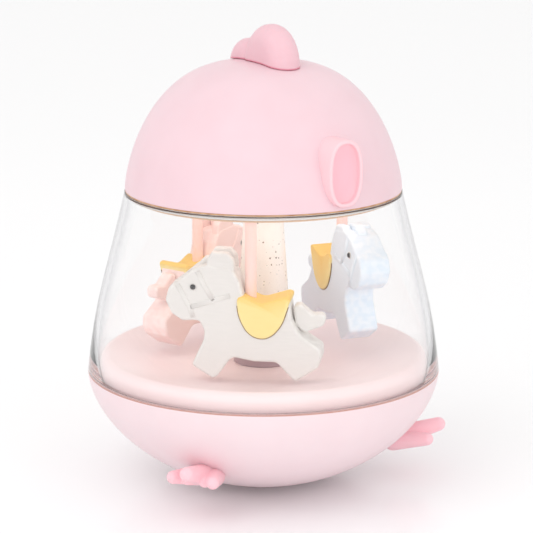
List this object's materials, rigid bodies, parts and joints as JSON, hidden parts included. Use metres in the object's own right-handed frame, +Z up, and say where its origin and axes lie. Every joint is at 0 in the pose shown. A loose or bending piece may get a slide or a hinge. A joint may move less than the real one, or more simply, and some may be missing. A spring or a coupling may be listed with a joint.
{
  "type": "carousel music box",
  "caption": "Round bird-shaped music box: a clear shell shows a carousel of toy horses on poles round a glitter column; the crest on the head winds the movement.",
  "frame": {"origin": "centre of the rest face under the body, on the axis that the carousel and the crest turn about", "axes": "+Z up along the carousel's axis; the bird looks along -Y and its left side is +X"},
  "size_m": [0.125, 0.125, 0.1635],
  "materials": {
    "bowl_plastic": "satin",
    "floor_plastic": "satin",
    "pad_rubber": "matt",
    "ballast_iron": "matt",
    "screw_steel": "satin",
    "column_resin": "glossy, with fine glitter specks",
    "bearing_brass": "satin",
    "clear_plastic": "clear and glossy",
    "rim_gold": "glossy",
    "head_plastic": "satin",
    "beak_plastic": "satin",
    "crest_plastic": "satin",
    "foot_plastic": "satin",
    "cast_zinc": "cast, matt",
    "spring_steel": "bright",
    "movement_brass": "bright",
    "plate_plastic": "satin",
    "pole_plastic": "satin",
    "socket_plastic": "satin",
    "white_wood": "painted, satin",
    "blue_wood": "painted, satin",
    "pink_wood": "painted, satin",
    "saddle_yellow": "painted, satin",
    "bead_black": "glossy"
  },
  "bodies": {
    "housing": {"base_bowl": "bowl_plastic", "rest_pad": "pad_rubber", "ballast_weight": "ballast_iron", "ballast_screws": "screw_steel", "tie_screw": "screw_steel", "floor_dish": "floor_plastic", "column": "column_resin", "column_bush": "bearing_brass", "clear_shell": "clear_plastic", "rim_seal": "rim_gold", "head_dome": "head_plastic", "beak": "beak_plastic", "left_foot": "foot_plastic", "right_foot": "foot_plastic", "foot_screws": "screw_steel", "movement_bedplate": "cast_zinc", "movement_screws": "screw_steel", "inner_bridge": "movement_brass", "outer_bridge": "movement_brass", "comb_bracket": "cast_zinc", "reed_comb": "spring_steel", "ratchet_click": "spring_steel", "stem_bush": "bearing_brass"},
    "winder": {"crest_knob": "crest_plastic", "winding_stem": "screw_steel", "ratchet_wheel": "movement_brass"},
    "carousel": {"spring_barrel": "movement_brass", "barrel_cover": "movement_brass", "mainspring": "spring_steel", "output_shaft": "screw_steel", "rotor_hub": "cast_zinc", "hub_screws": "screw_steel", "rotor_plate": "plate_plastic", "white_pole": "pole_plastic", "blue_pole": "pole_plastic", "pink_pole": "pole_plastic", "pole_sockets": "socket_plastic", "pole_nuts": "screw_steel", "white_horse": "white_wood", "blue_horse": "blue_wood", "pink_horse": "pink_wood", "white_saddle": "saddle_yellow", "blue_saddle": "saddle_yellow", "pink_saddle": "saddle_yellow", "white_tail": "white_wood", "blue_tail": "blue_wood", "pink_tail": "pink_wood", "white_eyes": "bead_black", "blue_eyes": "bead_black", "pink_eyes": "bead_black"},
    "cylinder": {"music_cylinder": "movement_brass", "cylinder_arbor": "screw_steel", "cylinder_pinion": "movement_brass", "cylinder_wheel": "movement_brass"},
    "governor": {"governor_arbor": "screw_steel"},
    "fan": {"air_fan": "screw_steel"}
  },
  "joints": [
    {"name": "crest_wind", "type": "hinge", "parent": "housing", "child": "winder", "pos_m": [0, 0, 0.13], "axis": [0, 0, 1], "range_deg": [-1800, 0]},
    {"name": "carousel_spin", "type": "hinge", "parent": "housing", "child": "carousel", "pos_m": [0, 0, 0.1], "axis": [0, 0, 1], "continuous": true},
    {"name": "cylinder_spin", "type": "hinge", "parent": "housing", "child": "cylinder", "pos_m": [0.02, 0, 0.1205], "axis": [1, 0, 0], "continuous": true},
    {"name": "governor_spin", "type": "hinge", "parent": "housing", "child": "governor", "pos_m": [0.02, 0.00805, 0.1205], "axis": [1, 0, 0], "continuous": true},
    {"name": "fan_spin", "type": "hinge", "parent": "housing", "child": "fan", "pos_m": [0.02, 0.0145, 0.1205], "axis": [1, 0, 0], "continuous": true}
  ],
  "couplings": [
    {"joint": "cylinder_spin", "follows": "carousel_spin", "ratio": 2.6667},
    {"joint": "governor_spin", "follows": "carousel_spin", "ratio": -8},
    {"joint": "fan_spin", "follows": "carousel_spin", "ratio": 24}
  ]
}
